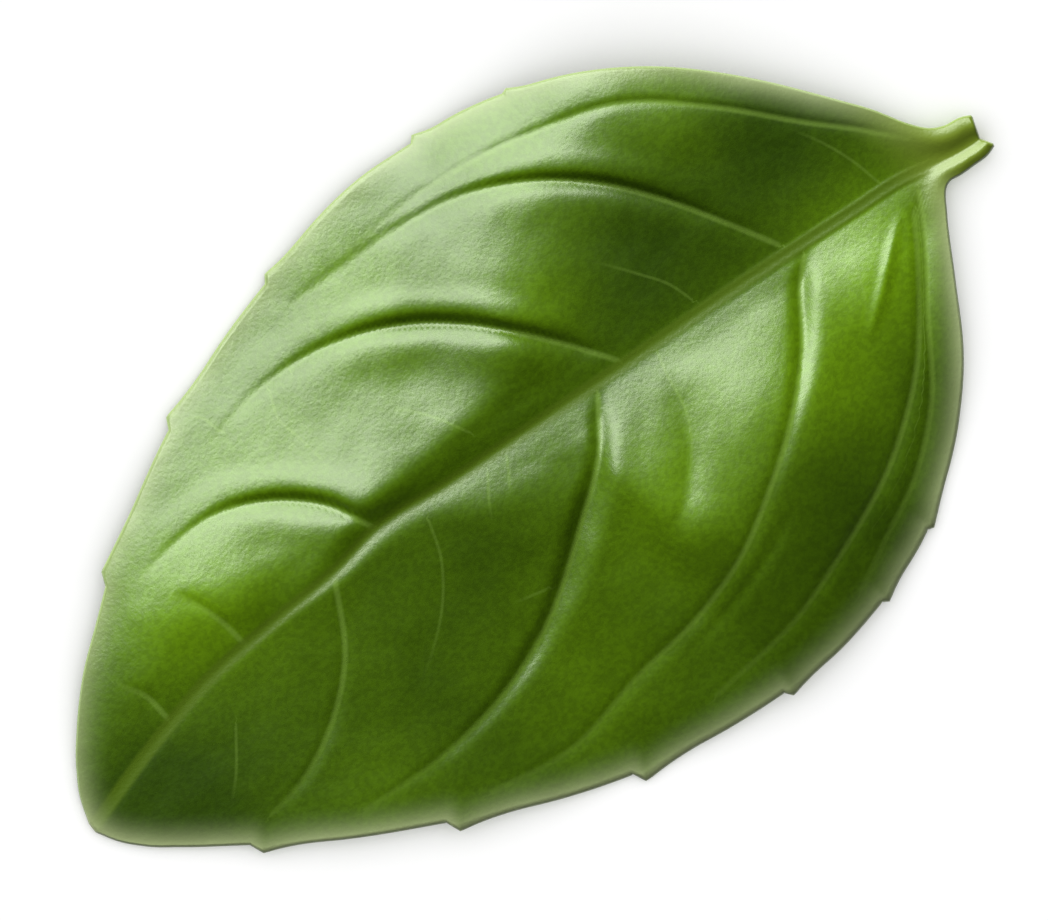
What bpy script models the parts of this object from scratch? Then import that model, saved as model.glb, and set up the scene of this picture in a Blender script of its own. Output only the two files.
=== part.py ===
"""One basil leaf, as picked: a domed, quilted blade with sunk veins and a short stub of its stalk.

The leaf lies upper side up on its margins, its stalk and its tip. Lengths are in millimetres until the
mesh is made. A place on the leaf is (along, across): along runs from the blade's base to its tip, which
is +X, and across is +Y on the right-hand half and -Y on the left-hand half.
"""

import bpy
import numpy as np

NAME = "basil_leaf"
MM = 0.001
LEFT, RIGHT = -1, 1

# Driving dimensions.
STALK_END = -2.9
TIP = 66.0
BOX_MIDDLE = (31.55, -0.8)
THICKNESS = 0.4
LEAST_RISE = 0.15
STALK_DEPTH = 1.5
STALK_NOTCH = 0.45
LEAST_THICKNESS = 0.3

# The mesh: rows across the leaf, columns from the midrib to each margin, the least gap between a row and a
# tooth's row, and about how far apart the points are, which is the narrowest that a crease can be.
ROWS = 52
COLUMNS = 14
ROW_GAP = 0.3
POINT_GAP = 1.3
OUTWARD_POWER = 1.2

# Each margin, as (along, distance from the axis), through the notches between its teeth.
MARGIN = {
    LEFT: [
        (-3.0, 1.2), (-2.4, 1.5), (-1.2, 1.75), (-0.4, 2.2), (0.5, 3.3), (1.5, 5.0), (3.0, 7.05),
        (6.0, 10.9), (10.0, 15.0), (14.0, 17.8), (18.0, 19.6), (22.0, 20.7), (25.0, 20.95), (29.0, 21.2),
        (33.0, 20.75), (36.0, 20.0), (42.0, 18.4), (48.0, 16.0), (51.0, 14.45), (54.0, 12.75), (58.0, 9.8),
        (61.0, 7.45), (63.0, 5.4), (64.6, 3.4), (65.6, 1.6), (66.0, 0.4),
    ],
    RIGHT: [
        (-3.0, 0.9), (-2.4, 1.1), (-1.2, 1.1), (-0.2, 1.05), (0.5, 0.95), (1.0, 1.15), (2.0, 2.5),
        (4.0, 5.85), (6.0, 9.2), (9.0, 12.7), (12.0, 15.2), (15.0, 17.05), (18.0, 18.2), (21.0, 18.95),
        (24.0, 19.4), (28.0, 19.3), (33.0, 18.75), (38.0, 17.6), (42.0, 16.2), (49.0, 12.75), (55.0, 9.4),
        (59.5, 6.25), (62.5, 4.05), (64.2, 2.65), (65.4, 1.25), (66.0, 0.2),
    ],
}

# Teeth, as (along, height, length of the slow rise towards the tip). A short step back follows each.
TEETH = {
    LEFT: [(18.4, 0.25, 1.5), (24.6, 0.4, 1.8), (36.9, 0.4, 3.5), (47.0, 0.55, 4.0), (55.9, 0.6, 4.0)],
    RIGHT: [(14.3, 0.35, 2.5), (19.2, 0.35, 2.0), (27.3, 0.45, 3.0), (37.6, 0.7, 4.5), (48.4, 0.75, 4.5),
            (58.7, 0.65, 3.5)],
}
TOOTH_STEP = 0.35
TOOTH_ROOT_POWER = 20

# The midrib, as (along, across).
MIDRIB = [
    (-3.0, 0.15), (-1.2, 0.0), (0.5, -0.35), (3.0, -0.9), (6.0, -1.15), (10.0, -1.5), (15.0, -1.9),
    (20.0, -2.2), (25.0, -2.5), (30.0, -2.85), (36.0, -3.25), (41.2, -3.75), (44.5, -3.3), (50.0, -3.15),
    (55.0, -2.85), (58.3, -2.2), (61.0, -1.55), (66.0, -0.1),
]

# Side veins from the midrib outwards, as (side, places), each place being (along, across, crease depth).
VEINS = [
    (LEFT, [(1.0, -2.6, 0.0), (3.0, -4.9, 0.1), (5.1, -7.0, 0.1), (9.3, -11.5, 0.13), (13.5, -15.0, 0.18),
            (18.4, -16.8, 0.12), (26.8, -18.3, 0.05), (32.0, -18.2, 0.0)]),
    (LEFT, [(11.2, -2.4, 0.0), (12.8, -5.2, 0.15), (15.1, -8.9, 0.55), (17.3, -11.7, 0.75),
            (20.5, -14.5, 0.6), (24.7, -16.6, 0.35), (28.9, -17.4, 0.15), (36.6, -17.8, 0.05)]),
    (LEFT, [(23.3, -2.9, 0.0), (24.9, -5.2, 0.4), (27.5, -8.4, 0.9), (29.3, -10.3, 0.9), (32.3, -12.6, 0.8),
            (36.6, -14.4, 0.35), (41.3, -14.9, 0.12), (46.0, -14.2, 0.0)]),
    (LEFT, [(41.2, -4.0, 0.5), (42.8, -6.9, 0.8), (45.2, -9.1, 0.65), (48.3, -10.5, 0.3),
            (51.8, -10.6, 0.08), (54.5, -10.2, 0.0)]),
    (LEFT, [(51.8, -3.4, 0.2), (52.0, -5.0, 0.25), (52.8, -7.3, 0.15), (53.4, -8.3, 0.0)]),
    (LEFT, [(58.3, -2.6, 0.15), (58.5, -4.4, 0.2), (59.3, -5.9, 0.0)]),
    (RIGHT, [(2.4, 0.4, 0.1), (3.5, 2.3, 0.25), (6.5, 6.5, 0.2), (10.0, 11.3, 0.1), (13.5, 14.1, 0.1),
             (17.0, 15.8, 0.05), (20.2, 17.4, 0.0)]),
    (RIGHT, [(3.4, 1.2, 0.1), (5.5, 4.3, 0.15), (9.3, 8.9, 0.15), (13.5, 12.1, 0.15), (20.5, 15.1, 0.15),
             (24.0, 16.2, 0.1), (31.0, 17.0, 0.0)]),
    (RIGHT, [(10.4, -0.8, 0.3), (11.4, 0.2, 0.45), (13.9, 3.5, 0.55), (17.4, 6.7, 0.25), (20.9, 9.1, 0.15),
             (24.7, 11.2, 0.15), (28.9, 12.5, 0.15), (34.0, 13.1, 0.15), (40.0, 14.1, 0.1),
             (45.5, 13.2, 0.0)]),
    (RIGHT, [(25.5, -1.9, 0.25), (27.6, 0.9, 0.55), (31.1, 3.6, 0.8), (37.0, 7.4, 0.5), (41.2, 8.9, 0.3),
             (46.7, 9.6, 0.12), (52.2, 9.3, 0.0)]),
    (RIGHT, [(45.0, -2.9, 0.05), (47.5, 1.25, 0.12), (50.2, 3.6, 0.12), (54.5, 5.6, 0.1),
             (56.9, 6.0, 0.0)]),
]
# Folds that have no side vein in them, as (side, how many times wider than at a vein, places in the same
# form). A negative depth is a ridge.
FOLDS = [
    (RIGHT, 1.0, [(4.4, 0.9, -0.05), (6.5, 2.6, -0.2), (8.5, 4.2, -0.2), (10.6, 5.7, 0.0)]),
    (RIGHT, 1.0, [(19.5, 10.4, 0.0), (23.0, 12.0, 0.1), (27.0, 13.2, 0.1), (31.0, 13.9, 0.0)]),
    (RIGHT, 3.5, [(21.4, -0.4, 0.0), (22.2, 2.4, 0.25), (23.4, 4.6, 0.45), (25.4, 6.5, 0.4),
                 (27.6, 8.0, 0.0)]),
]
# The section of a crease to each side, for a depth of 1: the share of its steep part and how that widens with
# the depth, then the height, middle and half width of a shoulder. The rest is made up over the next panel.
CREASE_LEAST_WIDTH = 0.4
CREASE_LEAST_REACH = 2.0
CREASE_WIDER_REACH = 6.0
CREASE_SECTION = {
    LEFT: {"baseward": (1.0, 0.27, 0.18, 1.1, 0.8), "tipward": (0.2, 1.15, 0.3, 0.5, 1.8)},
    RIGHT: {"baseward": (0.85, 1.6, 0.05, 1.5, 0.8), "tipward": (0.6, 0.8, 0.0, 1.5, 0.8)},
}

# Heights over the surface that the leaf lies on, as (along, height): the upper side of the midrib, and the
# underside at each margin.
MIDRIB_HEIGHT = [
    (-3.0, 0.9), (0.0, 1.1), (5.0, 1.3), (10.0, 1.6), (15.0, 2.0), (20.0, 2.5), (25.0, 2.9), (30.0, 3.3),
    (36.0, 3.7), (41.0, 3.8), (46.0, 3.5), (51.0, 2.7), (56.0, 1.9), (62.0, 1.1), (66.0, 0.5),
]
MARGIN_HEIGHT = {
    LEFT: [(-3.0, 1.2), (1.0, 1.5), (6.0, 2.1), (10.0, 2.7), (14.0, 2.4), (20.0, 1.0), (25.0, 0.4),
           (31.0, 0.6), (36.0, 0.3), (41.0, 0.0), (46.0, 0.3), (52.0, 0.8), (58.0, 0.9), (63.0, 0.5),
           (66.0, 0.0)],
    RIGHT: [(-3.0, 1.2), (1.0, 1.3), (6.0, 0.9), (12.0, 0.1), (18.0, 0.5), (25.0, 1.2), (31.0, 0.7),
            (37.0, 0.1), (46.0, 1.0), (54.0, 1.0), (60.0, 0.5), (66.0, 0.0)],
}
# How each half rises from the midrib: its slope, how far out the crest is, and how gradually it turns there.
RISE = {
    LEFT: [(-3.0, 0.1), (3.0, 0.16), (10.0, 0.18), (18.0, 0.24), (24.0, 0.34), (30.0, 0.55), (42.0, 0.6),
           (50.0, 0.35), (60.0, 0.2), (66.0, 0.1)],
    RIGHT: [(-3.0, 0.1), (3.0, 0.2), (10.0, 0.3), (18.0, 0.32), (24.0, 0.25), (30.0, 0.36), (38.0, 0.45),
            (42.0, 0.45), (46.0, 0.4), (51.0, 0.25), (56.0, 0.15), (66.0, 0.1)],
}
CREST = {
    LEFT: [(-3.0, 0.8), (1.0, 1.5), (3.0, 4.2), (5.3, 7.2), (8.0, 9.6), (12.0, 11.0), (15.0, 11.8),
           (18.0, 11.0), (20.0, 10.2), (22.0, 9.2), (24.0, 7.5), (27.0, 4.7), (30.0, 2.6), (35.0, 1.8),
           (40.0, 1.3), (45.0, 1.3), (48.0, 1.8), (52.0, 3.0), (56.0, 3.5), (62.0, 2.0), (66.0, 0.8)],
    RIGHT: [(-3.0, 0.8), (3.0, 1.8), (6.0, 3.6), (9.0, 5.0), (12.0, 4.8), (14.0, 6.0), (16.0, 7.6),
            (18.0, 8.8), (20.5, 9.8), (22.5, 9.8), (24.5, 9.6), (26.5, 7.5), (28.5, 4.0), (32.0, 2.7),
            (35.0, 1.8), (38.0, 0.9), (42.0, 0.6), (46.0, 0.35), (60.0, 0.35), (66.0, 0.3)],
}
TURN = {
    LEFT: [(-3.0, 0.4), (5.0, 0.6), (12.0, 1.0), (20.0, 2.8), (25.0, 2.4), (30.0, 0.7), (36.0, 0.35),
           (45.0, 0.35), (55.0, 1.2), (66.0, 0.4)],
    RIGHT: [(-3.0, 0.4), (3.0, 0.8), (10.0, 1.3), (18.0, 1.7), (23.0, 2.0), (30.0, 1.2), (36.0, 0.5),
            (42.0, 0.2), (66.0, 0.2)],
}
VALLEY_ROUND = 0.25
# The midrib's depth below the blade.
RIB_DEPTH = [(-3.0, 1.0), (2.0, 1.2), (15.0, 0.9), (40.0, 0.5), (66.0, 0.1)]
RIB_HALF_WIDTH = 0.9


def smooth(x, knots):
    """The value at x of a smooth curve through the knots, which are (x, value) pairs."""
    at, value = np.array(knots, float).T
    slope = np.gradient(value, at)
    left = np.clip(np.searchsorted(at, x) - 1, 0, len(at) - 2)
    step = at[left + 1] - at[left]
    t = np.clip((x - at[left]) / step, 0.0, 1.0)
    start = (1 + 2 * t) * (1 - t) ** 2 * value[left] + t * (1 - t) ** 2 * step * slope[left]
    end = t * t * (3 - 2 * t) * value[left + 1] - t * t * (1 - t) * step * slope[left + 1]
    return start + end


def ramp(x, low, high):
    """0 below low, 1 above high, and a smooth step between them."""
    t = np.clip((x - low) / (high - low), 0.0, 1.0)
    return t * t * (3 - 2 * t)


def close_points(places, spacing=0.3):
    """Places a fraction of a millimetre apart on a smooth curve through the given places."""
    places = np.array(places, float)
    chord = np.concatenate([[0.0], np.cumsum(np.linalg.norm(np.diff(places[:, :2], axis=0), axis=1))])
    reach = np.linspace(0.0, chord[-1], int(chord[-1] / spacing) + 2)
    return np.stack([smooth(reach, np.stack([chord, values], axis=1)) for values in places.T], axis=1)


def teeth(along, side):
    """How far the teeth stand out of one margin."""
    out = np.zeros_like(along)
    for apex, height, length in TEETH[side]:
        rise = np.clip((along - apex + length) / length, 0.0, 1.0) ** 2
        fall = np.clip(1 - (along - apex) / TOOTH_STEP, 0.0, 1.0)
        out += height * rise * fall
    return out


def from_vein(along, across, side, places):
    """How each point lies to a vein: its distance, how much on the tip's side it is, and the depth there."""
    line = close_points(places)
    depths = line[:, 2]
    line = line[:, :2]
    heading = np.gradient(line, axis=0)
    heading /= np.linalg.norm(heading, axis=1)[:, None]
    offset = np.stack([along, across], axis=-1)[..., None, :] - line
    nearest = np.argmin((offset**2).sum(-1), axis=-1)
    offset = np.take_along_axis(offset, nearest[..., None, None], axis=-2)[..., 0, :]
    ahead = heading[nearest]
    tipward = -side * (ahead[..., 0] * offset[..., 1] - ahead[..., 1] * offset[..., 0])
    past_end = (nearest == 0) | (nearest == len(line) - 1)
    distance = np.where(past_end, np.linalg.norm(offset, axis=-1), np.abs(tipward))
    tip_share = ramp(tipward / (distance + 0.1), -1.0, 1.0)
    return distance, tip_share, depths[nearest]


def creases(along, across, column):
    """How far the blade sinks towards its side veins, more steeply on one side of each than on the other."""
    sunk = np.zeros_like(along)
    for side, wider, places in [(side, 1.0, places) for side, places in VEINS] + FOLDS:
        distance, toward_tip, depth = from_vein(along, across, side, places)
        same_half = column * side > 0
        reach = CREASE_LEAST_REACH + CREASE_WIDER_REACH * np.abs(depth)
        for toward, share in (("baseward", 1 - toward_tip), ("tipward", toward_tip)):
            steep, widening, shoulder, shoulder_at, shoulder_width = CREASE_SECTION[side][toward]
            width = wider * (CREASE_LEAST_WIDTH + widening * np.abs(depth))
            width = np.maximum(width, POINT_GAP)
            wall = (1 - np.minimum(distance / width, 1.0)) ** 2
            section = steep * wall + (1 - steep) * np.exp(-distance / reach)
            section -= shoulder * np.exp(-(((distance - shoulder_at) / shoulder_width) ** 2))
            sunk += same_half * share * depth * section
    return sunk


def stations():
    """Where the rows cross the axis: closer together at both ends, and with one on each tooth."""
    t = np.linspace(0.0, 1.0, ROWS)
    even = STALK_END + (TIP - STALK_END) * (0.6 * t + 0.2 * (1 - np.cos(np.pi * t)))
    apexes = [apex for side in TEETH for apex, height, length in TEETH[side]]
    corners = [apex + step for apex in apexes for step in (0.0, TOOTH_STEP)]
    kept = [x for x in even if min(abs(x - corner) for corner in corners) > ROW_GAP]
    return np.array(sorted(kept + corners))


def half_dome(row, side, from_midrib, width, middle_height):
    """The height of one half, which rises from the midrib, turns over a crest and falls to its margin."""
    rise, crest, turn = [smooth(row, shape[side]) for shape in (RISE, CREST, TURN)]
    drop = middle_height - smooth(row, MARGIN_HEIGHT[side]) - THICKNESS

    def turned(distance):
        return turn * (np.logaddexp(0.0, (distance - crest) / turn) - np.logaddexp(0.0, -crest / turn))

    change = (drop + rise * width) / turned(width)
    return middle_height + rise * from_midrib - change * turned(from_midrib)


def surfaces():
    """The grids of points of the upper and the lower surface, as rows of columns from left to right."""
    outward = np.linspace(0.0, 1.0, COLUMNS + 1) ** OUTWARD_POWER
    signed = np.concatenate([-outward[:0:-1], outward])
    row, column = np.meshgrid(stations(), signed, indexing="ij")
    out = np.abs(column)
    middle = smooth(row, MIDRIB)
    middle_height = smooth(row, MIDRIB_HEIGHT)
    across = np.empty_like(row)
    dome = np.empty_like(row)
    for side in (LEFT, RIGHT):
        half = column * side >= 0
        edge = side * smooth(row, MARGIN[side])
        tooth = side * teeth(row, side) * out**TOOTH_ROOT_POWER
        across[half] = (middle + out * (edge - middle) + tooth)[half]
        from_midrib = np.sqrt((across - middle) ** 2 + VALLEY_ROUND**2) - VALLEY_ROUND
        dome[half] = half_dome(row, side, from_midrib, np.abs(edge - middle), middle_height)[half]
    along = row + STALK_NOTCH * (1 - out) * np.clip(1 - (row - STALK_END) / 1.2, 0.0, 1.0)
    from_midrib = np.abs(across - middle)

    blade_top = dome - creases(along, across, column) * ramp(from_midrib, 0.0, 2.0)
    blade_top = THICKNESS + LEAST_RISE * np.logaddexp(0.0, (blade_top - THICKNESS) / LEAST_RISE)
    rib = smooth(row, RIB_DEPTH) * np.exp(-((from_midrib / RIB_HALF_WIDTH) ** 2))
    blade_under = blade_top - THICKNESS - rib

    rim = (out / 0.65) ** 2
    stalk_top = STALK_DEPTH * (0.78 + 0.22 * rim * np.exp(1 - rim))
    stalk_under = 0.72 * STALK_DEPTH * (1 - np.sqrt(1 - (0.96 * out) ** 2))
    blade = ramp(row, -1.0, 4.0)
    top = blade * blade_top + (1 - blade) * stalk_top
    under = np.maximum(blade * blade_under + (1 - blade) * stalk_under, 0.0)
    top = np.maximum(top, under + LEAST_THICKNESS)
    plan = np.stack([along - BOX_MIDDLE[0], across - BOX_MIDDLE[1]], axis=-1)
    return (np.dstack([plan, height]) for height in (top, under))


def leaf_mesh():
    """A closed mesh: the two surfaces, joined along the margins, the cut stalk and the tip."""
    top, under = surfaces()
    rows, columns = top.shape[:2]
    points = np.concatenate([top.reshape(-1, 3), under.reshape(-1, 3)]) * MM
    number = np.arange(rows * columns).reshape(rows, columns)
    below = number + rows * columns
    faces = []
    for i in range(rows - 1):
        for j in range(columns - 1):
            quad = [number[i, j], number[i + 1, j], number[i + 1, j + 1], number[i, j + 1]]
            faces.append(quad)
            faces.append([corner + rows * columns for corner in reversed(quad)])
    border = [number[i, 0] for i in range(rows - 1)]
    border += [number[rows - 1, j] for j in range(columns - 1)]
    border += [number[i, columns - 1] for i in range(rows - 1, 0, -1)]
    border += [number[0, j] for j in range(columns - 1, 0, -1)]
    for here, there in zip(border, border[1:] + border[:1]):
        faces.append([here, here + rows * columns, there + rows * columns, there])
    mesh = bpy.data.meshes.new(NAME)
    mesh.from_pydata(points.tolist(), [], [[int(corner) for corner in face] for face in faces])
    mesh.shade_smooth()
    return mesh


def leaf_material():
    material = bpy.data.materials.new("leaf")
    material.use_nodes = True
    shader = material.node_tree.nodes["Principled BSDF"]
    shader.inputs["Base Color"].default_value = (0.06, 0.13, 0.003, 1.0)
    shader.inputs["Roughness"].default_value = 0.45
    shader.inputs["Metallic"].default_value = 0.0
    return material


for old in list(bpy.data.objects):
    bpy.data.objects.remove(old)
leaf = bpy.data.objects.new(NAME, leaf_mesh())
leaf.data.materials.append(leaf_material())
bpy.context.collection.objects.link(leaf)
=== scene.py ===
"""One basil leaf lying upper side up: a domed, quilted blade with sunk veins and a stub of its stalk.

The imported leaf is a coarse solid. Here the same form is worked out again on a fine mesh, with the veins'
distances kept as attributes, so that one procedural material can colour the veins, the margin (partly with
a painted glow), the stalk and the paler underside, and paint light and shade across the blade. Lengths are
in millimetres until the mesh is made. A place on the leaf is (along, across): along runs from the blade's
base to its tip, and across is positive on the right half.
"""

import math

import bpy
import numpy as np
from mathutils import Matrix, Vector, noise


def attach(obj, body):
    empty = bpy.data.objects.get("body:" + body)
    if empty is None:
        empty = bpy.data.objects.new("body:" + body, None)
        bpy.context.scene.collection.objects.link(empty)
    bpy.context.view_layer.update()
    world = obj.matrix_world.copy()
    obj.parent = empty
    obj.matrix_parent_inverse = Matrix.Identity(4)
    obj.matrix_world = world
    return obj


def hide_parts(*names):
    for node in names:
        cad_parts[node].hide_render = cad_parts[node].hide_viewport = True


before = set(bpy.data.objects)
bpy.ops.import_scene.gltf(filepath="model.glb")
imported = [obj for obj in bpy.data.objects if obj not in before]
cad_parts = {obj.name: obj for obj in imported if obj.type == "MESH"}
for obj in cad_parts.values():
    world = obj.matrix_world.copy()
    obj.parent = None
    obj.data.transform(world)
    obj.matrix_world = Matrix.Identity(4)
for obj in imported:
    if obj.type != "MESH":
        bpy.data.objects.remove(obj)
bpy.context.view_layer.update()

MM = 0.001
LEFT, RIGHT = -1, 1
# Farther than any place on the leaf is from a vein, and how many points' distances are worked out at once.
FAR = 99.0
POINTS_AT_ONCE = 4000

# ---------------------------------------------------------------------------------------------------
# The leaf's form
# ---------------------------------------------------------------------------------------------------
STALK_END = -2.9
TIP = 66.0
BOX_MIDDLE = (31.55, -0.8)
THICKNESS = 0.4
LEAST_RISE = 0.15
LEAST_THICKNESS = 0.3
# Where the stalk starts to turn into the blade, and where it is all blade.
BLADE_START = -1.0
BLADE_FULL = 4.0
# The stalk: its depth, the notch in its cut end, and its channelled section. Shares of its depth give the
# channel's floor, the height of its two rims over that and the rise of its underside to each side. Shares
# of its half width give the rims' place and how much of a half ellipse the underside takes up.
STALK_DEPTH = 1.5
STALK_NOTCH = 0.45
STALK_NOTCH_LENGTH = 1.2
STALK_FLOOR = 0.78
STALK_RIM = 0.22
STALK_RIM_AT = 0.65
STALK_BELLY = 0.72
STALK_BELLY_WIDTH = 0.96

# The mesh: rows across the leaf, how much of their spacing is even, and the least gap between a row and a
# tooth's row. Then columns from the midrib to each margin, which are closer together near the midrib.
ROWS = 300
EVEN_SHARE = 0.6
ROW_GAP = 0.08
COLUMNS = 90
OUTWARD_POWER = 1.15

# Each margin, as (along, distance from the axis), through the notches between its teeth.
MARGIN = {
    LEFT: [
        (-3.0, 1.2), (-2.4, 1.5), (-1.2, 1.75), (-0.4, 2.2), (0.5, 3.3), (1.5, 5.0), (3.0, 7.05),
        (6.0, 10.9), (10.0, 15.0), (14.0, 17.8), (18.0, 19.6), (22.0, 20.7), (25.0, 20.95), (29.0, 21.2),
        (33.0, 20.75), (36.0, 20.0), (42.0, 18.4), (48.0, 16.0), (51.0, 14.45), (54.0, 12.75), (58.0, 9.8),
        (61.0, 7.45), (63.0, 5.4), (64.6, 3.4), (65.6, 1.6), (66.0, 0.4),
    ],
    RIGHT: [
        (-3.0, 0.9), (-2.4, 1.1), (-1.2, 1.1), (-0.2, 1.05), (0.5, 0.95), (1.0, 1.15), (2.0, 2.5),
        (4.0, 5.85), (6.0, 9.2), (9.0, 12.7), (12.0, 15.2), (15.0, 17.05), (18.0, 18.2), (21.0, 18.95),
        (24.0, 19.4), (28.0, 19.3), (33.0, 18.75), (38.0, 17.6), (42.0, 16.2), (49.0, 12.75), (55.0, 9.4),
        (59.5, 6.25), (62.5, 4.05), (64.2, 2.65), (65.4, 1.25), (66.0, 0.2),
    ],
}

# Teeth, as (along, height, length of the slow rise towards the tip). A short step back follows each.
TEETH = {
    LEFT: [(18.4, 0.25, 1.5), (24.6, 0.4, 1.8), (36.9, 0.4, 3.5), (47.0, 0.55, 4.0), (55.9, 0.6, 4.0)],
    RIGHT: [(14.3, 0.35, 2.5), (19.2, 0.35, 2.0), (27.3, 0.45, 3.0), (37.6, 0.7, 4.5), (48.4, 0.75, 4.5),
            (58.7, 0.65, 3.5)],
}
TOOTH_STEP = 0.35
TOOTH_ROOT_POWER = 20

# The midrib, as (along, across).
MIDRIB = [
    (-3.0, 0.15), (-1.2, 0.0), (0.5, -0.35), (3.0, -0.9), (6.0, -1.15), (10.0, -1.5), (15.0, -1.9),
    (20.0, -2.2), (25.0, -2.5), (30.0, -2.85), (36.0, -3.25), (41.2, -3.75), (44.5, -3.3), (50.0, -3.15),
    (55.0, -2.85), (58.3, -2.2), (61.0, -1.55), (66.0, -0.1),
]

# Side veins from the midrib outwards, as (side, places), each place being (along, across, crease depth).
VEINS = [
    (LEFT, [(1.0, -2.6, 0.0), (3.0, -4.9, 0.1), (5.1, -7.0, 0.1), (9.3, -11.5, 0.13), (13.5, -15.0, 0.18),
            (18.4, -16.8, 0.12), (26.8, -18.3, 0.05), (32.0, -18.2, 0.0)]),
    (LEFT, [(11.2, -2.4, 0.0), (12.8, -5.2, 0.15), (15.1, -8.9, 0.55), (17.3, -11.7, 0.75),
            (20.5, -14.5, 0.6), (24.7, -16.6, 0.22), (28.9, -17.4, 0.1), (36.6, -17.8, 0.04)]),
    (LEFT, [(23.3, -2.9, 0.0), (24.9, -5.2, 0.4), (27.5, -8.4, 0.9), (29.3, -10.3, 0.9), (32.3, -12.6, 0.8),
            (36.6, -14.4, 0.28), (41.3, -14.9, 0.08), (46.0, -14.2, 0.0)]),
    (LEFT, [(41.2, -4.0, 0.5), (42.8, -6.9, 0.8), (45.2, -9.1, 0.65), (48.3, -10.5, 0.22),
            (51.8, -10.6, 0.06), (54.5, -10.2, 0.0)]),
    (LEFT, [(51.8, -3.4, 0.15), (52.0, -5.0, 0.2), (52.8, -7.3, 0.12), (53.4, -8.3, 0.0)]),
    (LEFT, [(58.3, -2.6, 0.08), (58.5, -4.4, 0.12), (59.3, -5.9, 0.0)]),
    (RIGHT, [(2.4, 0.4, 0.1), (3.5, 2.3, 0.25), (6.5, 6.5, 0.2), (10.0, 11.3, 0.1), (13.5, 14.1, 0.1),
             (17.0, 15.8, 0.05), (20.2, 17.4, 0.0)]),
    (RIGHT, [(3.4, 1.2, 0.1), (5.5, 4.3, 0.15), (9.3, 8.9, 0.15), (13.5, 12.1, 0.15), (20.5, 15.1, 0.15),
             (24.0, 16.2, 0.1), (31.0, 17.0, 0.0)]),
    (RIGHT, [(10.4, -0.8, 0.3), (11.4, 0.2, 0.45), (13.9, 3.5, 0.55), (17.4, 6.7, 0.25), (20.9, 9.1, 0.15),
             (24.7, 11.2, 0.15), (28.9, 12.5, 0.15), (34.0, 13.1, 0.15), (40.0, 14.1, 0.1),
             (45.5, 13.2, 0.0)]),
    (RIGHT, [(25.5, -1.9, 0.25), (27.6, 0.9, 0.55), (31.1, 3.6, 0.8), (37.0, 7.4, 0.5), (41.2, 8.9, 0.3),
             (46.7, 9.6, 0.12), (52.2, 9.3, 0.0)]),
    (RIGHT, [(45.0, -2.9, 0.05), (47.5, 1.25, 0.12), (50.2, 3.6, 0.12), (54.5, 5.6, 0.1),
             (56.9, 6.0, 0.0)]),
]

# Folds that have no side vein in them, as (side, how many times wider than at a vein, places in the same
# form). A negative depth is a ridge.
FOLDS = [
    (RIGHT, 1.0, [(4.4, 0.9, -0.05), (6.5, 2.6, -0.2), (8.5, 4.2, -0.2), (10.6, 5.7, 0.0)]),
    (RIGHT, 1.0, [(19.5, 10.4, 0.0), (23.0, 12.0, 0.1), (27.0, 13.2, 0.1), (31.0, 13.9, 0.0)]),
    (RIGHT, 3.5, [(21.4, -0.4, 0.0), (22.2, 2.4, 0.25), (23.4, 4.6, 0.45), (25.4, 6.5, 0.4),
                  (27.6, 8.0, 0.0)]),
]

# A crease's section. Its bottom is rounded. Its steep part has a least width, and the rest is made up over
# the next panel, with a reach that grows with the depth. CREASE_TURN is how gradually the section of one
# side turns into the other's across the vein, and CREASE_ROOT is how far from the midrib it is at its full
# depth. CREASE_SECTION gives, to each side and for a depth of 1, the share of the steep part and how that
# widens with the depth, then the height, middle and half width of a shoulder.
CREASE_ROUND = 0.16
CREASE_LEAST_WIDTH = 0.4
CREASE_LEAST_REACH = 0.8
CREASE_WIDER_REACH = 8.0
CREASE_TURN = 0.35
CREASE_ROOT = 2.0
CREASE_SECTION = {
    LEFT: {"baseward": (1.0, 0.27, 0.18, 1.1, 0.8), "tipward": (0.2, 0.95, 0.48, 0.8, 1.7)},
    RIGHT: {"baseward": (0.85, 1.6, 0.05, 1.5, 0.8), "tipward": (0.6, 0.8, 0.0, 1.5, 0.8)},
}

# How much a side vein's colour fades by its far end, from which share of its length, and between which
# distances from its middle line it ends. Then the same for a thin vein, which fades away altogether.
VEIN_FADE = 0.7
VEIN_FADE_FROM = 0.3
VEIN_EDGE = (0.5, 1.0)
THIN_VEIN_FADE_FROM = 0.4
THIN_VEIN_EDGE = (0.4, 0.8)

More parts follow.
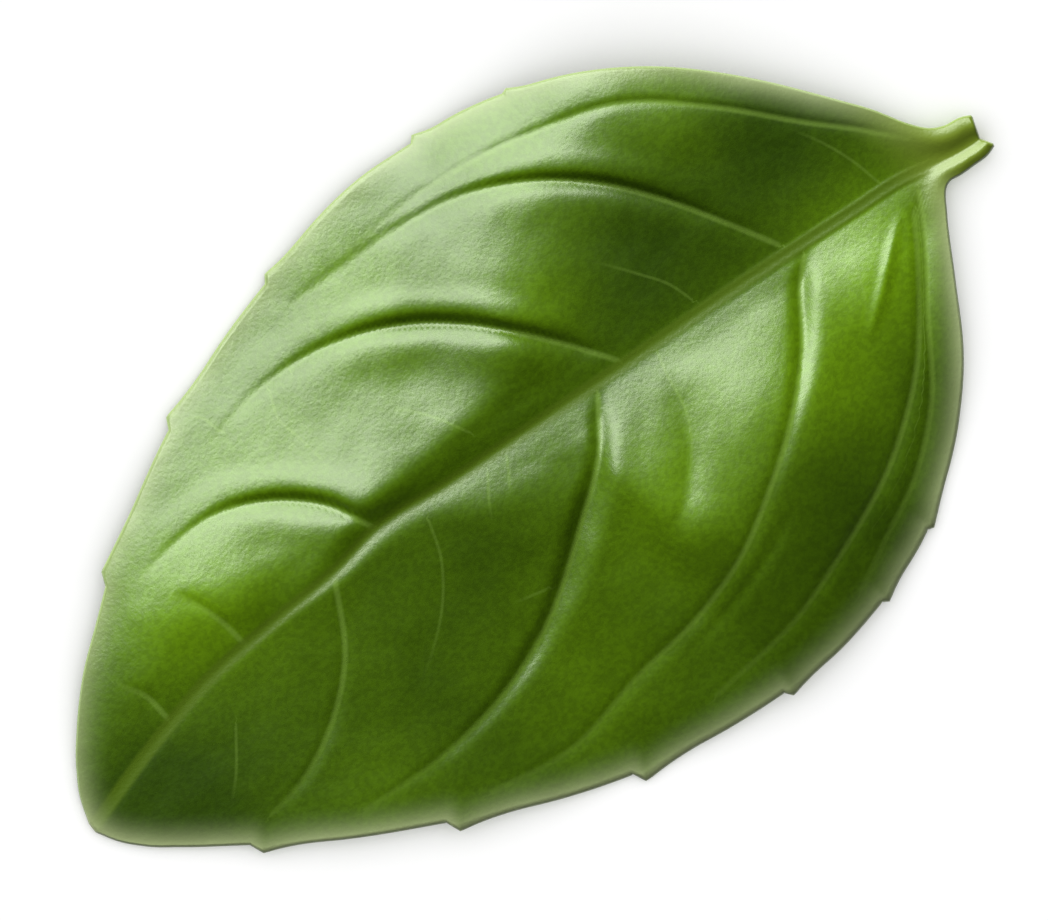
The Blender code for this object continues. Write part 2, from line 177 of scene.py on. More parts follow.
# Thin veins that show as pale lines, as (side, places from the midrib outwards).
THIN_VEINS = [
    (LEFT, [(4.0, -1.6), (4.4, -3.4), (5.2, -5.5), (6.6, -8.0)]),
    (LEFT, [(17.4, -3.0), (17.9, -4.5), (19.1, -6.3), (21.2, -9.1)]),
    (LEFT, [(33.1, -5.0), (33.9, -6.5), (35.2, -8.3), (37.2, -9.6)]),
    (LEFT, [(41.1, -14.4), (41.7, -12.8), (41.4, -11.0), (40.9, -7.2)]),
    (LEFT, [(39.3, -14.8), (39.2, -15.6)]),
    (LEFT, [(45.0, -14.4), (45.4, -15.7), (46.9, -16.6)]),
    (RIGHT, [(8.2, 1.2), (8.8, 3.0), (9.9, 4.8)]),
    (RIGHT, [(17.2, 5.0), (18.4, 4.7), (20.6, 5.0)]),
    (RIGHT, [(21.0, -1.8), (21.3, -0.8), (22.0, 2.5), (22.8, 3.9), (25.0, 6.1), (26.4, 7.3)]),
    (RIGHT, [(32.2, -2.3), (33.1, -0.9), (33.7, -0.1)]),
    (RIGHT, [(33.7, -2.3), (34.8, -0.7), (35.4, 0.4)]),
    (RIGHT, [(35.2, 5.5), (37.4, 4.9)]),
    (RIGHT, [(38.3, -2.2), (39.1, 0.0), (40.1, 1.5), (43.2, 4.3), (45.5, 5.6)]),
    (RIGHT, [(55.3, 0.4), (57.2, 2.8), (58.8, 4.3)]),
]

# Painted light and shade, as (along, across, reach, how much): the green is made fresher where light falls
# # and deeper where shade falls.
LIT_AND_SHADED_PLACES = [
    (7.0, 2.0, 5.0, 0.7), (13.0, 6.5, 4.0, 0.35), (18.0, 2.0, 5.0, 0.3), (25.0, 5.5, 5.0, 0.4),
    (11.0, -14.0, 4.0, 0.25), (20.0, -17.5, 6.0, 0.2), (25.0, -9.0, 4.0, 0.25), (34.0, -16.0, 6.0, 0.25),
    (46.0, -12.0, 7.0, 0.2), (53.0, -7.0, 5.0, 0.5), (62.0, 2.0, 6.0, -0.35), (8.0, -6.0, 6.0, -0.3),
    (18.0, -6.0, 6.0, -0.2), (45.0, 4.0, 8.0, -0.1), (37.0, 12.0, 5.0, 0.2), (50.0, 7.5, 5.0, 0.15),
    (14.0, 14.0, 8.0, -0.15),
]

# Heights over the surface that the leaf lies on, as (along, height): the upper side of the midrib, and the
# underside at each margin.
MIDRIB_HEIGHT = [
    (-3.0, 0.9), (0.0, 1.1), (5.0, 1.3), (10.0, 1.6), (15.0, 2.0), (20.0, 2.5), (25.0, 2.9), (30.0, 3.3),
    (36.0, 3.7), (41.0, 3.8), (46.0, 3.5), (51.0, 2.7), (56.0, 1.9), (62.0, 1.1), (66.0, 0.5),
]
MARGIN_HEIGHT = {
    LEFT: [(-3.0, 1.2), (1.0, 1.5), (6.0, 2.1), (10.0, 2.7), (14.0, 2.55), (20.0, 1.0), (25.0, 0.4),
           (31.0, 0.6), (36.0, 0.3), (41.0, 0.0), (46.0, 0.3), (52.0, 0.8), (58.0, 0.9), (63.0, 0.5),
           (66.0, 0.0)],
    RIGHT: [(-3.0, 1.2), (1.0, 1.3), (6.0, 0.9), (12.0, 0.1), (18.0, 0.5), (25.0, 1.2), (31.0, 0.7),
            (37.0, 0.1), (46.0, 1.0), (54.0, 1.0), (60.0, 0.5), (66.0, 0.0)],
}

# How each half rises from the midrib: its slope, how far out the crest is, and how gradually it turns.
RISE = {
    LEFT: [(-3.0, 0.1), (3.0, 0.16), (10.0, 0.18), (18.0, 0.24), (24.0, 0.34), (30.0, 0.55), (42.0, 0.57),
           (50.0, 0.35), (60.0, 0.2), (66.0, 0.1)],
    RIGHT: [(-3.0, 0.1), (3.0, 0.2), (10.0, 0.3), (18.0, 0.32), (24.0, 0.28), (30.0, 0.36), (38.0, 0.45),
            (42.0, 0.45), (46.0, 0.4), (51.0, 0.25), (56.0, 0.15), (66.0, 0.1)],
}
CREST = {
    LEFT: [(-3.0, 0.8), (1.0, 1.5), (3.0, 4.2), (5.3, 7.2), (8.0, 9.6), (12.0, 11.0), (15.0, 11.8),
           (18.0, 11.0), (20.0, 10.2), (22.0, 9.2), (24.0, 7.5), (27.0, 4.7), (30.0, 2.6), (35.0, 1.8),
           (40.0, 1.3), (45.0, 1.3), (48.0, 1.8), (52.0, 3.0), (56.0, 3.5), (62.0, 2.0), (66.0, 0.8)],
    RIGHT: [(-3.0, 0.8), (3.0, 1.8), (6.0, 3.6), (9.0, 5.0), (12.0, 4.8), (14.0, 6.0), (16.0, 7.6),
            (18.0, 8.8), (20.5, 9.8), (22.5, 9.8), (24.5, 9.6), (26.5, 7.5), (28.5, 4.0), (32.0, 2.7),
            (35.0, 1.8), (38.0, 0.9), (42.0, 0.6), (46.0, 0.35), (60.0, 0.35), (66.0, 0.3)],
}
TURN = {
    LEFT: [(-3.0, 0.4), (5.0, 0.6), (12.0, 1.0), (20.0, 2.8), (25.0, 2.4), (30.0, 0.7), (36.0, 0.35),
           (45.0, 0.35), (55.0, 1.2), (66.0, 0.4)],
    RIGHT: [(-3.0, 0.4), (3.0, 0.8), (10.0, 1.3), (18.0, 1.7), (23.0, 2.0), (30.0, 1.2), (36.0, 0.5),
            (42.0, 0.2), (66.0, 0.2)],
}
# How round the valley over the midrib is.
VALLEY_ROUND = 0.25

# The midrib's low ridge on the upper side, and the ribs of the midrib and the side veins on the underside.
RIDGE_HEIGHT = [(-3.0, 0.0), (1.0, 0.04), (20.0, 0.03), (30.0, 0.01), (66.0, 0.0)]
RIDGE_TOP_HALF_WIDTH = 0.252
RIDGE_HALF_WIDTH = 0.546
RIB_DEPTH = [(-3.0, 1.0), (2.0, 1.2), (15.0, 0.9), (40.0, 0.5), (66.0, 0.1)]
RIB_HALF_WIDTH = 0.9
SIDE_RIB_DEPTH = 0.25
SIDE_RIB_HALF_WIDTH = 0.35

# Swellings between the finest veins, as (size, height, layer of the noise), and how far from the midrib
# they start and are full.
SWELLINGS = [(4.0, 0.075, 3.0), (1.5, 0.025, 7.0)]
SWELLINGS_START = 0.5
SWELLINGS_FULL = 3.0


def smooth(x, knots):
    """The value at x of a smooth curve through the knots, which are (x, value) pairs."""
    at, value = np.array(knots, float).T
    slope = np.gradient(value, at)
    left = np.clip(np.searchsorted(at, x) - 1, 0, len(at) - 2)
    step = at[left + 1] - at[left]
    t = np.clip((x - at[left]) / step, 0.0, 1.0)
    start = (1 + 2 * t) * (1 - t) ** 2 * value[left] + t * (1 - t) ** 2 * step * slope[left]
    end = t * t * (3 - 2 * t) * value[left + 1] - t * t * (1 - t) * step * slope[left + 1]
    return start + end


def ramp(x, low, high):
    """0 below low, 1 above high, and a smooth step between them."""
    t = np.clip((x - low) / (high - low), 0.0, 1.0)
    return t * t * (3 - 2 * t)


def close_points(places, spacing=0.2):
    """Places a fraction of a millimetre apart on a smooth curve through the given places."""
    places = np.array(places, float)
    chord = np.concatenate([[0.0], np.cumsum(np.linalg.norm(np.diff(places[:, :2], axis=0), axis=1))])
    reach = np.linspace(0.0, chord[-1], int(chord[-1] / spacing) + 2)
    return np.stack([smooth(reach, np.stack([chord, values], axis=1)) for values in places.T], axis=1)


def teeth(along, side):
    """How far the teeth stand out of one margin."""
    out = np.zeros_like(along)
    for apex, height, length in TEETH[side]:
        rise = np.clip((along - apex + length) / length, 0.0, 1.0) ** 2
        fall = np.clip(1 - (along - apex) / TOOTH_STEP, 0.0, 1.0)
        out += height * rise * fall
    return out


def from_vein(along, across, side, places):
    """How each point lies to a vein: its distance, positive towards the leaf's tip, how far out along the
    vein it is, how much it is on the tip's side, and the vein's depth there. A thin vein has no depth."""
    line = close_points(places)
    depths = line[:, 2:]
    line = line[:, :2]
    heading = np.gradient(line, axis=0)
    heading /= np.linalg.norm(heading, axis=1)[:, None]
    flat = np.stack([along.ravel(), across.ravel()], axis=1)
    nearest = np.empty(len(flat), int)
    for start in range(0, len(flat), POINTS_AT_ONCE):
        part = flat[start:start + POINTS_AT_ONCE, None] - line
        nearest[start:start + POINTS_AT_ONCE] = np.argmin((part**2).sum(-1), axis=1)
    offset = flat - line[nearest]
    ahead = heading[nearest]
    tipward = -side * (ahead[:, 0] * offset[:, 1] - ahead[:, 1] * offset[:, 0])
    past_end = (nearest == 0) | (nearest == len(line) - 1)
    distance = np.where(past_end, np.linalg.norm(offset, axis=1), np.abs(tipward))
    fraction = nearest / (len(line) - 1)
    tip_share = ramp(tipward / (distance + CREASE_TURN), -1.0, 1.0)
    depth = depths[nearest, 0] if depths.size else np.zeros(len(nearest))
    facts = (np.sign(tipward) * distance, fraction, tip_share, depth)
    return [fact.reshape(along.shape) for fact in facts]


def stations():
    """Where the rows cross the axis: closer together at both ends, and with one on each tooth."""
    t = np.linspace(0.0, 1.0, ROWS)
    even = STALK_END + (TIP - STALK_END) * (EVEN_SHARE * t + (1 - EVEN_SHARE) * (1 - np.cos(np.pi * t)) / 2)
    apexes = [apex for side in TEETH for apex, height, length in TEETH[side]]
    corners = [apex + step for apex in apexes for step in (0.0, TOOTH_STEP)]
    kept = [x for x in even if min(abs(x - corner) for corner in corners) > ROW_GAP]
    return np.array(sorted(kept + corners))


def unevenness(along, across):
    """Small swellings between the finest veins, in millimetres of height."""
    total = []
    for x, y in zip(along.ravel().tolist(), across.ravel().tolist()):
        total.append(sum(height * noise.noise(Vector((x / size, y / size, layer)))
                         for size, height, layer in SWELLINGS))
    return np.array(total).reshape(along.shape)


def painted_light_and_shade(along, across):
    """Painted light and shade: how much fresher the green is made where light falls, and deeper where shade
    falls.
    """
    return sum(more * np.exp(-(((along - at) ** 2 + (across - aside) ** 2) / reach**2))
               for at, aside, reach, more in LIT_AND_SHADED_PLACES)


def half_dome(row, side, from_midrib, width, middle_height):
    """The height of one half, which rises from the midrib, turns over a crest and falls to its margin."""
    rise, crest, turn = [smooth(row, shape[side]) for shape in (RISE, CREST, TURN)]
    drop = middle_height - smooth(row, MARGIN_HEIGHT[side]) - THICKNESS

    def turned(distance):
        return turn * (np.logaddexp(0.0, (distance - crest) / turn) - np.logaddexp(0.0, -crest / turn))

    change = (drop + rise * width) / turned(width)
    return middle_height + rise * from_midrib - change * turned(from_midrib)


def creases(along, across, column):
    """How deep the creases along the side veins are, and the nearest vein's distance and strength."""
    sunk = np.zeros_like(along)
    vein_offset = np.full_like(along, FAR)
    vein_strength = np.zeros_like(along)
    for side, wider, places in [(side, 1.0, places) for side, places in VEINS] + FOLDS:
        offset, fraction, toward_tip, depth = from_vein(along, across, side, places)
        same_half = column * side > 0
        distance = np.sqrt(offset**2 + CREASE_ROUND**2) - CREASE_ROUND
        reach = CREASE_LEAST_REACH + CREASE_WIDER_REACH * np.abs(depth)
        for toward, share in (("baseward", 1 - toward_tip), ("tipward", toward_tip)):
            steep, widening, shoulder, shoulder_at, shoulder_width = CREASE_SECTION[side][toward]
            width = wider * (CREASE_LEAST_WIDTH + widening * np.abs(depth))
            wall = (1 - np.minimum(distance / width, 1.0)) ** 2
            section = steep * wall + (1 - steep) * np.exp(-distance / reach)
            section -= shoulder * np.exp(-(((distance - shoulder_at) / shoulder_width) ** 2))
            sunk += same_half * share * depth * section
        if (side, wider, places) in FOLDS:
            continue
        nearer = same_half & (np.abs(offset) < np.abs(vein_offset))
        strength = 1 - VEIN_FADE * ramp(fraction, VEIN_FADE_FROM, 1.0)
        strength *= 1 - ramp(np.abs(offset), *VEIN_EDGE)
        vein_offset[nearer] = offset[nearer]
        vein_strength[nearer] = strength[nearer]
    return sunk, vein_offset, vein_strength


def distance_to_outline(plan):
    """How far each place of the grid is from the leaf's outline, seen from above."""
    border = np.concatenate([plan[:, 0], plan[-1, 1:-1], plan[::-1, -1], plan[0, -2:0:-1]])
    ahead = np.roll(border, -1, axis=0) - border
    border = np.concatenate([border + ahead * share for share in (0.0, 0.25, 0.5, 0.75)])
    flat = plan.reshape(-1, 2)
    distance = np.empty(len(flat))
    for start in range(0, len(flat), POINTS_AT_ONCE):
        gap = ((flat[start:start + POINTS_AT_ONCE, None] - border) ** 2).sum(-1).min(axis=1)
        distance[start:start + POINTS_AT_ONCE] = np.sqrt(gap)
    return distance.reshape(plan.shape[:2])


def surfaces():
    """The upper and the lower surface as grids of points, with what the material needs to know there."""
    outward = np.linspace(0.0, 1.0, COLUMNS + 1) ** OUTWARD_POWER
    signed = np.concatenate([-outward[:0:-1], outward])
    row, column = np.meshgrid(stations(), signed, indexing="ij")
    out = np.abs(column)
    middle = smooth(row, MIDRIB)
    middle_height = smooth(row, MIDRIB_HEIGHT)
    across = np.empty_like(row)
    dome = np.empty_like(row)
    for side in (LEFT, RIGHT):
        half = column * side >= 0
        edge = side * smooth(row, MARGIN[side])
        tooth = side * teeth(row, side) * out**TOOTH_ROOT_POWER
        across[half] = (middle + out * (edge - middle) + tooth)[half]
        from_midrib = np.sqrt((across - middle) ** 2 + VALLEY_ROUND**2) - VALLEY_ROUND
        dome[half] = half_dome(row, side, from_midrib, np.abs(edge - middle), middle_height)[half]
    along = row + STALK_NOTCH * (1 - out) * np.clip(1 - (row - STALK_END) / STALK_NOTCH_LENGTH, 0.0, 1.0)
    from_midrib = np.abs(across - middle)

    sunk, vein_offset, vein_strength = creases(along, across, column)
    thin_offset = np.full_like(row, FAR)
    thin_strength = np.zeros_like(row)
    for side, places in THIN_VEINS:
        offset, fraction = from_vein(along, across, side, places)[:2]
        nearer = (column * side > 0) & (np.abs(offset) < np.abs(thin_offset))
        strength = 1 - ramp(fraction, THIN_VEIN_FADE_FROM, 1.0)
        strength *= 1 - ramp(np.abs(offset), *THIN_VEIN_EDGE)
        thin_offset[nearer] = offset[nearer]
        thin_strength[nearer] = strength[nearer]

    blade_top = dome - sunk * ramp(from_midrib, 0.0, CREASE_ROOT)
    blade_top += unevenness(along, across) * ramp(from_midrib, SWELLINGS_START, SWELLINGS_FULL)
    ridge = 1 - ramp(from_midrib, RIDGE_TOP_HALF_WIDTH, RIDGE_HALF_WIDTH)
    blade_top += smooth(row, RIDGE_HEIGHT) * ridge
    blade_top = THICKNESS + LEAST_RISE * np.logaddexp(0.0, (blade_top - THICKNESS) / LEAST_RISE)
    rib = smooth(row, RIB_DEPTH) * np.exp(-((from_midrib / RIB_HALF_WIDTH) ** 2))
    side_rib = SIDE_RIB_DEPTH * vein_strength * np.exp(-((vein_offset / SIDE_RIB_HALF_WIDTH) ** 2))
    blade_under = blade_top - THICKNESS - rib - side_rib

    rim = (out / STALK_RIM_AT) ** 2
    stalk_top = STALK_DEPTH * (STALK_FLOOR + STALK_RIM * rim * np.exp(1 - rim))
    stalk_under = STALK_BELLY * STALK_DEPTH * (1 - np.sqrt(1 - (STALK_BELLY_WIDTH * out) ** 2))
    blade = ramp(row, BLADE_START, BLADE_FULL)
    top = blade * blade_top + (1 - blade) * stalk_top
    under = np.maximum(blade * blade_under + (1 - blade) * stalk_under, 0.0)
    top = np.maximum(top, under + LEAST_THICKNESS)
    plan = np.stack([along - BOX_MIDDLE[0], across - BOX_MIDDLE[1]], axis=-1)
    facts = {
        "midrib_offset": across - middle,
        "vein_offset": vein_offset,
        "vein_strength": vein_strength,
        "thin_offset": thin_offset,
        "thin_strength": thin_strength,
        "to_edge": distance_to_outline(plan),
        "stalk": 1 - blade,
        "along": along,
        # Painted light and shade, which the material adds to the green's random blotches.
        "painted_light_and_shade": painted_light_and_shade(along, across),
    }
    return np.dstack([plan, top]), np.dstack([plan, under]), facts


# ---------------------------------------------------------------------------------------------------
# The mesh
# ---------------------------------------------------------------------------------------------------
RIM_BULGE = 0.12
UPPER, UNDER, RIM = 0, 1, 2
# The map for baking: how many millimetres its width takes up, its flattening, the height of each side's
# middle line on it, and how far the rim is spread outwards on it at its own middle and at its lower edge.
MAP_WIDTH = 80.0
MAP_FLATTENING = 0.9
UPPER_MAP_MIDDLE = 0.25
UNDER_MAP_MIDDLE = 0.75
RIM_SPREAD = 0.25
UNDER_EDGE_SPREAD = 0.6


def quads(number):
    """The faces between the points of a grid, given by their numbers."""
    corners = [number[:-1, :-1], number[1:, :-1], number[1:, 1:], number[:-1, 1:]]
    return np.stack(corners, axis=-1).reshape(-1, 4)


def leaf_mesh():
    """A closed mesh. A round rim joins the upper side to the underside, which has every second column."""
    top, under, facts = surfaces()
    rows, columns = top.shape[:2]
    under = under[:, ::2]
    under_columns = under.shape[1]
    first_under = rows * columns
    first_rim = first_under + rows * under_columns
    top_number = np.arange(first_under).reshape(rows, columns)
    under_number = np.arange(first_under, first_rim).reshape(rows, under_columns)

    edge_cells = [(i, 0) for i in range(rows - 1)]
    edge_cells += [(rows - 1, j) for j in range(columns - 1)]
    edge_cells += [(i, columns - 1) for i in range(rows - 1, 0, -1)]
    edge_cells += [(0, j) for j in range(columns - 1, 0, -1)]
    at_row, at_column = np.array(edge_cells).T
    edge = top[at_row, at_column]
    tangent = np.roll(edge, -1, axis=0)[:, :2] - np.roll(edge, 1, axis=0)[:, :2]
    tangent /= np.linalg.norm(tangent, axis=1)[:, None]
    away = np.stack([-tangent[:, 1], tangent[:, 0]], axis=1)
    if (away * edge[:, :2]).sum() < 0:
        away = -away
    low = under[at_row, at_column // 2, 2]
    rim = np.column_stack([edge[:, :2] + RIM_BULGE * away, (edge[:, 2] + low) / 2])
    count = len(rim)
    rim_number = np.arange(first_rim, first_rim + count)

    upper_faces = quads(top_number).tolist()
    under_faces = quads(under_number)[:, ::-1].tolist()
    faces = upper_faces + under_faces
    kinds = [UPPER] * len(upper_faces) + [UNDER] * len(under_faces)
    edge_number = top_number[at_row, at_column]
    has_under = (at_column % 2) == 0
    here = 0
    while here < count:
        step = 1 if has_under[(here + 1) % count] else 2
        chain = [(here + k) % count for k in range(step + 1)]
        for a, b in zip(chain, chain[1:]):
            faces.append([edge_number[a], rim_number[a], rim_number[b], edge_number[b]])
        lower = [under_number[at_row[k], at_column[k] // 2] for k in (chain[0], chain[-1])]
        faces.append([rim_number[chain[0]], *lower, *rim_number[chain[:0:-1]]])
        here += step
    kinds += [RIM] * (len(faces) - len(kinds))

    points = np.concatenate([top.reshape(-1, 3), under.reshape(-1, 3), rim])
    mesh = bpy.data.meshes.new("basil_leaf_blade")
    mesh.from_pydata((points * MM).tolist(), [], [[int(corner) for corner in face] for face in faces])
    mesh.shade_smooth()
    values = {name: [grid, grid[:, ::2], grid[at_row, at_column]] for name, grid in facts.items()}
    values["underside"] = [np.zeros(first_under), np.ones(first_rim - first_under), np.full(count, 0.5)]
    for name, parts in values.items():
        value = np.concatenate([part.ravel() for part in parts]).astype(np.float32)
        mesh.attributes.new(name, "FLOAT", "POINT").data.foreach_set("value", value)

    # The leaf in plan, as the map for baking: the upper side and the rim on one half, the underside, turned
    # over, on the other. The rim is spread outwards, since it has almost no width in plan.
    corner_point = np.empty(len(mesh.loops), int)
    mesh.loops.foreach_get("vertex_index", corner_point)
    corner_kind = np.repeat(kinds, [len(face) for face in faces])
    place = points[corner_point, :2] / MAP_WIDTH
    uv = np.stack([0.5 + place[:, 0], UPPER_MAP_MIDDLE + place[:, 1] * MAP_FLATTENING], axis=1)
    on_under = corner_kind == UNDER
    uv[on_under, 1] = UNDER_MAP_MIDDLE - (uv[on_under, 1] - UPPER_MAP_MIDDLE)
    spread = np.zeros((len(points), 2))
    spread[rim_number] = RIM_SPREAD * away / MAP_WIDTH
    under_edge = under_number[at_row[has_under], at_column[has_under] // 2]
    spread[under_edge] = UNDER_EDGE_SPREAD * away[has_under] / MAP_WIDTH
    on_rim = corner_kind == RIM
    uv[on_rim] += spread[corner_point[on_rim]]
    layer = mesh.uv_layers.new(name="OFBake")
    layer.data.foreach_set("uv", uv.astype(np.float32).ravel())
    return mesh


# ---------------------------------------------------------------------------------------------------
# The material
# ---------------------------------------------------------------------------------------------------
class Nodes:
    """Short calls that add nodes to one material and link them."""

    def __init__(self, material):
        self.tree = material.node_tree
        self.shader = self.tree.nodes["Principled BSDF"]

    def link(self, value, socket):
        if hasattr(value, "is_output"):
            self.tree.links.new(value, socket)
        else:
            socket.default_value = value

    def attribute(self, name):
        node = self.tree.nodes.new("ShaderNodeAttribute")
        node.attribute_name = name
        return node.outputs["Fac"]

    def distance(self, name):
        """The absolute value of an attribute that is negative on one side of a line."""
        return self.math("ABSOLUTE", self.attribute(name))

    def math(self, operation, *values):
        node = self.tree.nodes.new("ShaderNodeMath")
        node.operation = operation
        for value, socket in zip(values, node.inputs):
            self.link(value, socket)
        return node.outputs[0]

    def steps(self, value, low, high, start, end):
        """A smooth change from start to end as value goes from low to high."""
        node = self.tree.nodes.new("ShaderNodeMapRange")
        node.interpolation_type = "SMOOTHSTEP"
        for given, socket in zip((value, low, high, start, end), node.inputs):
            self.link(given, socket)
        return node.outputs[0]

    def mix(self, factor, first, second, blend="MIX"):
        node = self.tree.nodes.new("ShaderNodeMix")
        node.data_type = "RGBA"
        node.blend_type = blend
        self.link(factor, node.inputs["Factor"])
        for value, socket in ((first, node.inputs[6]), (second, node.inputs[7])):
            self.link(value if hasattr(value, "is_output") else (*value, 1.0), socket)
        return node.outputs[2]

    def gray(self, value):
        node = self.tree.nodes.new("ShaderNodeCombineColor")
        for socket in node.inputs[:3]:
            self.link(value, socket)
        return node.outputs["Color"]

    def noise(self, size, detail, roughness=0.5):
        """Noise whose features are about this size, in millimetres."""
        node = self.tree.nodes.new("ShaderNodeTexNoise")
        place = self.tree.nodes.new("ShaderNodeTexCoord").outputs["Object"]
        self.link(place, node.inputs["Vector"])
        node.inputs["Scale"].default_value = 1 / (size * MM)
        node.inputs["Detail"].default_value = detail
        node.inputs["Roughness"].default_value = roughness
        return node.outputs["Fac"]

    def bump(self, height, distance):
        """Relief whose height is this distance, in millimetres."""
        node = self.tree.nodes.new("ShaderNodeBump")
        node.inputs["Distance"].default_value = distance * MM
        self.link(height, node.inputs["Height"])
        return node.outputs["Normal"]


# The blade's two greens. The mix between them carries random blotches and also painted light and shade.
DEEP_AND_SHADED_GREEN = (0.016, 0.038, 0.0004)
FRESH_AND_LIT_GREEN = (0.078, 0.160, 0.0010)
VEIN_GREEN = (0.125, 0.210, 0.030)
# The margin's pale colour: partly the leaf's own paler edge, partly a painted glow.
PALE_MARGIN_AND_GLOW_GREEN = (0.200, 0.240, 0.112)
UNDER_GREEN = (0.260, 0.370, 0.120)
UNDER_VEIN_GREEN = (0.420, 0.500, 0.220)
STALK_GREEN = (0.088, 0.128, 0.010)
MIDRIB_GREEN = (0.043, 0.078, 0.003)
HIGHLIGHT_TINT = (0.88, 0.97, 0.79)
UPPER_ROUGHNESS = 0.33
UNDER_ROUGHNESS = 0.6
LEAF_IOR = 1.45

# The noises' sizes and what they change: the grain's height, the mottle's brightness, and how fresh the
# green is in blotches.
GRAIN = 0.25
GRAIN_HEIGHT = 0.015
MOTTLE = 0.38
MOTTLE_LEVELS = (0.35, 0.65)
MOTTLE_BRIGHTNESS = (0.90, 1.10)
BLOTCH = 9.0
BLOTCH_LEVELS = (0.3, 0.7)
BLOTCH_FRESHNESS = (0.17, 0.33)

# Where the colour of each kind of vein starts to fade and ends, from its middle line, and how strong it is.
VEIN_BAND = (0.04, 0.28)
VEIN_MIX = 0.35
THIN_VEIN_BAND = (0.02, 0.15)
THIN_VEIN_MIX = 0.2
MIDRIB_BAND = (0.25, 0.6)
MIDRIB_MIX = 0.85
UNDER_MIDRIB_BAND = (0.6, 1.0)

# The pale margin, partly the leaf's own paler edge and partly a painted glow: its width, how it fades
# inwards,
# # how strong it is on the left half and near the base, and between which places across and along the leaf
# each
# # of those gives way.
MARGIN_WIDTH = 2.4
MARGIN_FADE_POWER = 3.0
LEFT_MARGIN_MIX = 0.5
LEFT_TO_RIGHT = (-3.0, 1.0)
BASE_MARGIN_MIX = 0.8
BASE_TO_MIDDLE = (5.0, 16.0)


def leaf_material():
    """The leaf's one material, which reads the mesh's attributes."""
    material = bpy.data.materials.new("basil_leaf_surface")
    material.use_nodes = True
    nodes = Nodes(material)
    grain = nodes.noise(GRAIN, detail=3.0)
    mottle = nodes.noise(MOTTLE, detail=2.0)
    blotches = nodes.noise(BLOTCH, detail=3.0, roughness=0.6)

    # The blade's green, fresher in random blotches and in places of painted light, deeper in places of
    # painted
    # # shade, with a fine mottle.
    tone_and_painted_light = nodes.steps(blotches, *BLOTCH_LEVELS, *BLOTCH_FRESHNESS)
    tone_and_painted_light = nodes.math("ADD", tone_and_painted_light, nodes.attribute("painted_light_and_shade"))
    color = nodes.mix(nodes.math("MAXIMUM", tone_and_painted_light, 0.0), DEEP_AND_SHADED_GREEN, FRESH_AND_LIT_GREEN)
    brightness = nodes.gray(nodes.steps(mottle, *MOTTLE_LEVELS, *MOTTLE_BRIGHTNESS))
    color = nodes.mix(1.0, color, brightness, blend="MULTIPLY")

    # The side veins, the thin veins and the midrib.
    vein = nodes.steps(nodes.distance("vein_offset"), *VEIN_BAND, 1.0, 0.0)
    vein = nodes.math("MULTIPLY", vein, nodes.attribute("vein_strength"))
    color = nodes.mix(nodes.math("MULTIPLY", vein, VEIN_MIX), color, VEIN_GREEN)
    thin = nodes.steps(nodes.distance("thin_offset"), *THIN_VEIN_BAND, THIN_VEIN_MIX, 0.0)
    thin = nodes.math("MULTIPLY", thin, nodes.attribute("thin_strength"))
    color = nodes.mix(thin, color, VEIN_GREEN)
    from_midrib = nodes.distance("midrib_offset")
    color = nodes.mix(nodes.steps(from_midrib, *MIDRIB_BAND, MIDRIB_MIX, 0.0), color, MIDRIB_GREEN)

    # The pale margin, partly the leaf's own paler edge and partly a painted glow, and the stalk.
    inside = nodes.math("MINIMUM", nodes.math("DIVIDE", nodes.attribute("to_edge"), MARGIN_WIDTH), 1.0)
    edge = nodes.math("POWER", nodes.math("SUBTRACT", 1.0, inside), MARGIN_FADE_POWER)
    by_side = nodes.steps(nodes.attribute("midrib_offset"), *LEFT_TO_RIGHT, LEFT_MARGIN_MIX, 1.0)
    by_base = nodes.steps(nodes.attribute("along"), *BASE_TO_MIDDLE, BASE_MARGIN_MIX, 0.0)
    edge = nodes.math("MULTIPLY", edge, nodes.math("MAXIMUM", by_side, by_base))
    # Paler towards the margin: partly the leaf's own edge, partly a painted glow.
    color = nodes.mix(edge, color, PALE_MARGIN_AND_GLOW_GREEN)
    color = nodes.mix(nodes.attribute("stalk"), color, STALK_GREEN)

    # The underside, with its ribs.
    under_midrib = nodes.steps(from_midrib, *UNDER_MIDRIB_BAND, 1.0, 0.0)
    under_color = nodes.mix(nodes.math("MAXIMUM", vein, under_midrib), UNDER_GREEN, UNDER_VEIN_GREEN)
    underside = nodes.attribute("underside")
    color = nodes.mix(underside, color, under_color)

    shader = nodes.shader.inputs
    nodes.link(color, shader["Base Color"])
    nodes.link(nodes.steps(underside, 0.0, 1.0, UPPER_ROUGHNESS, UNDER_ROUGHNESS), shader["Roughness"])
    nodes.link(nodes.bump(grain, GRAIN_HEIGHT), shader["Normal"])
    shader["IOR"].default_value = LEAF_IOR
    shader["Specular Tint"].default_value = (*HIGHLIGHT_TINT, 1.0)
    return material


leaf = bpy.data.objects.new("basil_leaf_blade", leaf_mesh())
bpy.context.collection.objects.link(leaf)
leaf.data.materials.append(leaf_material())
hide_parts("basil_leaf")
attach(leaf, "root")

# ---------------------------------------------------------------------------------------------------
# Floor, light and camera
# ---------------------------------------------------------------------------------------------------
FLOOR_HALF = 1.5
FLOOR_WHITE = (0.85, 0.85, 0.85)
FLOOR_ROUGHNESS = 0.9
# The camera looks straight down at a place on the leaf, turned so that the leaf's axis runs down to the
# left across the picture. The picture's width on the floor and the camera's height are in metres.
PICTURE_TURN = math.atan2(0.6162, -0.7876)
PICTURE_WIDTH = 0.06409
CAMERA_HEIGHT = 0.6
SENSOR_WIDTH = 36.0
LOOKED_AT = (31.47, -1.56)
# The backdrop looks white to the camera and lights the leaf this much.
BACKDROP_LIGHT = 0.004


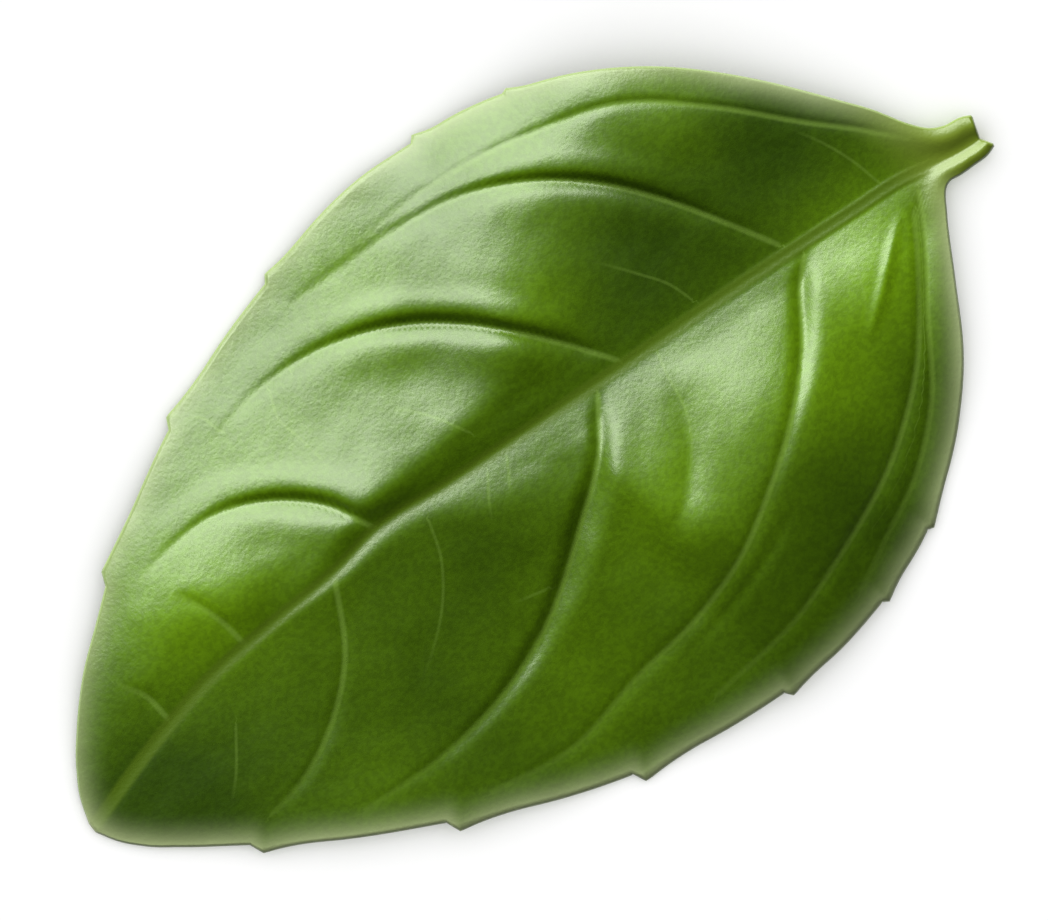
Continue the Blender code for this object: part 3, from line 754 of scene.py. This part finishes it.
def floor_material():
    material = bpy.data.materials.new("floor_white")
    material.use_nodes = True
    shader = material.node_tree.nodes["Principled BSDF"]
    shader.inputs["Base Color"].default_value = (*FLOOR_WHITE, 1.0)
    shader.inputs["Roughness"].default_value = FLOOR_ROUGHNESS
    return material


floor_mesh = bpy.data.meshes.new("floor")
floor_corners = [(x * FLOOR_HALF, y * FLOOR_HALF, 0.0) for x, y in ((-1, -1), (1, -1), (1, 1), (-1, 1))]
floor_mesh.from_pydata(floor_corners, [], [(0, 1, 2, 3)])
floor = bpy.data.objects.new("floor", floor_mesh)
bpy.context.collection.objects.link(floor)
floor_mesh.materials.append(floor_material())

# Lamps, as (name, direction from the leaf, width, height, power, the one object that it lights).
LAMP_DISTANCE = 0.9
LAMPS = [
    ("key", (-0.05, -0.64, 0.77), 0.9, 0.3, 15.8, leaf),
    ("side", (-0.15, -0.90, 0.38), 0.8, 0.5, 17.0, leaf),
    ("fill", (0.2, 0.9, 0.3), 0.6, 0.5, 0.04, leaf),
    ("floor_light", (0.0, 0.0, 1.0), 4.4, 4.4, 84.0, floor),
]


def add_lamp(name, direction, width, height, power, receiver):
    """A soft rectangular lamp that faces the leaf and lights one object and nothing else."""
    light = bpy.data.lights.new(name, "AREA")
    light.shape = "RECTANGLE"
    light.size = width
    light.size_y = height
    light.energy = power
    lamp = bpy.data.objects.new(name, light)
    bpy.context.collection.objects.link(lamp)
    direction = Vector(direction).normalized()
    lamp.location = direction * LAMP_DISTANCE
    lamp.rotation_euler = direction.to_track_quat("Z", "Y").to_euler()
    lit = bpy.data.collections.new("lit_by_" + name)
    lit.objects.link(receiver)
    lamp.light_linking.receiver_collection = lit


for lamp_facts in LAMPS:
    add_lamp(*lamp_facts)

world = bpy.data.worlds.new("studio")
world.use_nodes = True
backdrop = world.node_tree.nodes["Background"]
backdrop.inputs["Color"].default_value = (1.0, 1.0, 1.0, 1.0)
seen = world.node_tree.nodes.new("ShaderNodeLightPath")
level = world.node_tree.nodes.new("ShaderNodeMapRange")
level.inputs["To Min"].default_value = BACKDROP_LIGHT
level.inputs["To Max"].default_value = 1.0
world.node_tree.links.new(seen.outputs["Is Camera Ray"], level.inputs["Value"])
world.node_tree.links.new(level.outputs["Result"], backdrop.inputs["Strength"])
bpy.context.scene.world = world
bpy.context.scene.view_settings.view_transform = "Standard"

camera_data = bpy.data.cameras.new("camera")
camera_data.sensor_width = SENSOR_WIDTH
camera_data.lens = SENSOR_WIDTH * CAMERA_HEIGHT / PICTURE_WIDTH
camera = bpy.data.objects.new("camera", camera_data)
view_x, view_y = [(place - middle) * MM for place, middle in zip(LOOKED_AT, BOX_MIDDLE)]
camera.location = (view_x, view_y, CAMERA_HEIGHT)
camera.rotation_euler = (0.0, 0.0, PICTURE_TURN)
bpy.context.collection.objects.link(camera)
bpy.context.scene.camera = camera
